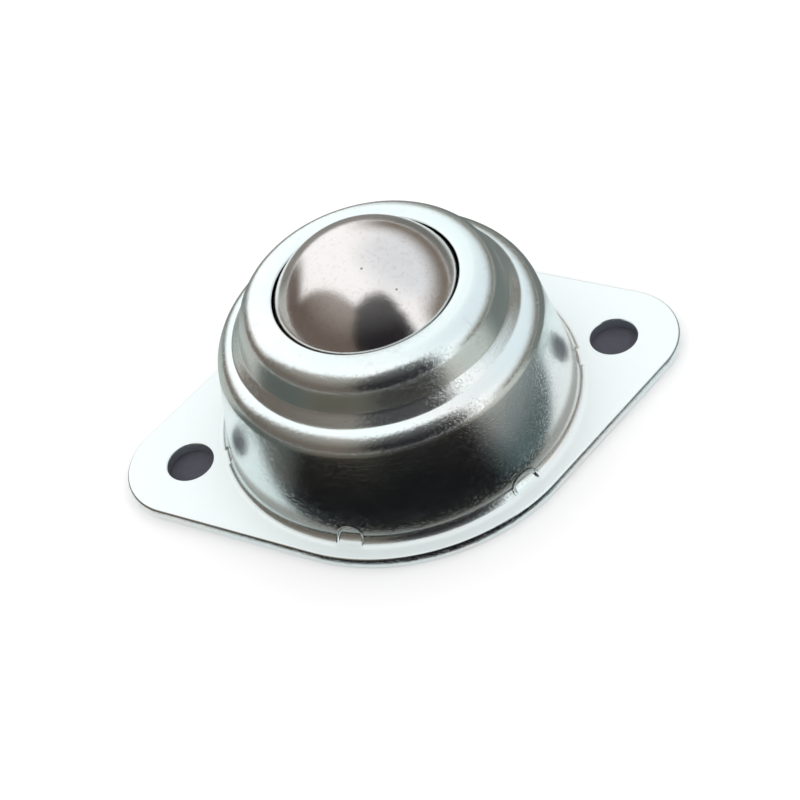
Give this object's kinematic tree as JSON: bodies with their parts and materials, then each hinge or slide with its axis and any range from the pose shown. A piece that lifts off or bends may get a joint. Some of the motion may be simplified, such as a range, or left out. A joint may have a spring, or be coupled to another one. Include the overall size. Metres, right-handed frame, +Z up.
{
  "type": "ball castor",
  "caption": "Flange-mounted ball castor: pressed steel shell with a diamond flange, hardened cup, bearing ball layer and a load ball that rolls in any direction.",
  "frame": {"origin": "centre of the flange's underside, on the load ball's vertical axis, on the surface that the castor is bolted to", "axes": "+Z up out of the dome through the load ball's top, +X along the line of the two bolt holes, +Y across the flange"},
  "size_m": [0.0726, 0.0508, 0.029],
  "materials": {
    "shell_zinc": "bright zinc plated pressed steel, satin",
    "cup_steel": "hardened steel, matt grey",
    "ring_zinc": "zinc plated sheet",
    "ball_steel": "polished steel ball",
    "bearing_steel": "polished bearing balls, oiled"
  },
  "bodies": {
    "housing": {"outer_shell": "shell_zinc", "load_cup": "cup_steel", "base_ring": "ring_zinc"},
    "bearing_layer": {"bearing_ball_01": "bearing_steel", "bearing_ball_02": "bearing_steel", "bearing_ball_03": "bearing_steel", "bearing_ball_04": "bearing_steel", "bearing_ball_05": "bearing_steel", "bearing_ball_06": "bearing_steel", "bearing_ball_07": "bearing_steel", "bearing_ball_08": "bearing_steel", "bearing_ball_09": "bearing_steel", "bearing_ball_10": "bearing_steel", "bearing_ball_11": "bearing_steel", "bearing_ball_12": "bearing_steel", "bearing_ball_13": "bearing_steel", "bearing_ball_14": "bearing_steel", "bearing_ball_15": "bearing_steel", "bearing_ball_16": "bearing_steel", "bearing_ball_17": "bearing_steel", "bearing_ball_18": "bearing_steel", "bearing_ball_19": "bearing_steel", "bearing_ball_20": "bearing_steel", "bearing_ball_21": "bearing_steel", "bearing_ball_22": "bearing_steel", "bearing_ball_23": "bearing_steel", "bearing_ball_24": "bearing_steel", "bearing_ball_25": "bearing_steel", "bearing_ball_26": "bearing_steel", "bearing_ball_27": "bearing_steel", "bearing_ball_28": "bearing_steel", "bearing_ball_29": "bearing_steel", "bearing_ball_30": "bearing_steel", "bearing_ball_31": "bearing_steel", "bearing_ball_32": "bearing_steel", "bearing_ball_33": "bearing_steel", "bearing_ball_34": "bearing_steel", "bearing_ball_35": "bearing_steel", "bearing_ball_36": "bearing_steel", "bearing_ball_row_5": "bearing_steel", "bearing_ball_row_6": "bearing_steel", "bearing_ball_row_7": "bearing_steel", "bearing_ball_row_8": "bearing_steel"},
    "load_ball": {"main_ball": "ball_steel"}
  },
  "joints": [
    {"name": "bearing_orbit", "type": "hinge", "parent": "housing", "child": "bearing_layer", "pos_m": [0, 0, 0.0163], "axis": [0, 0, 1], "continuous": true},
    {"name": "ball_roll", "type": "hinge", "parent": "bearing_layer", "child": "load_ball", "pos_m": [0, 0, 0.0163], "axis": [1, 0, 0], "continuous": true}
  ]
}
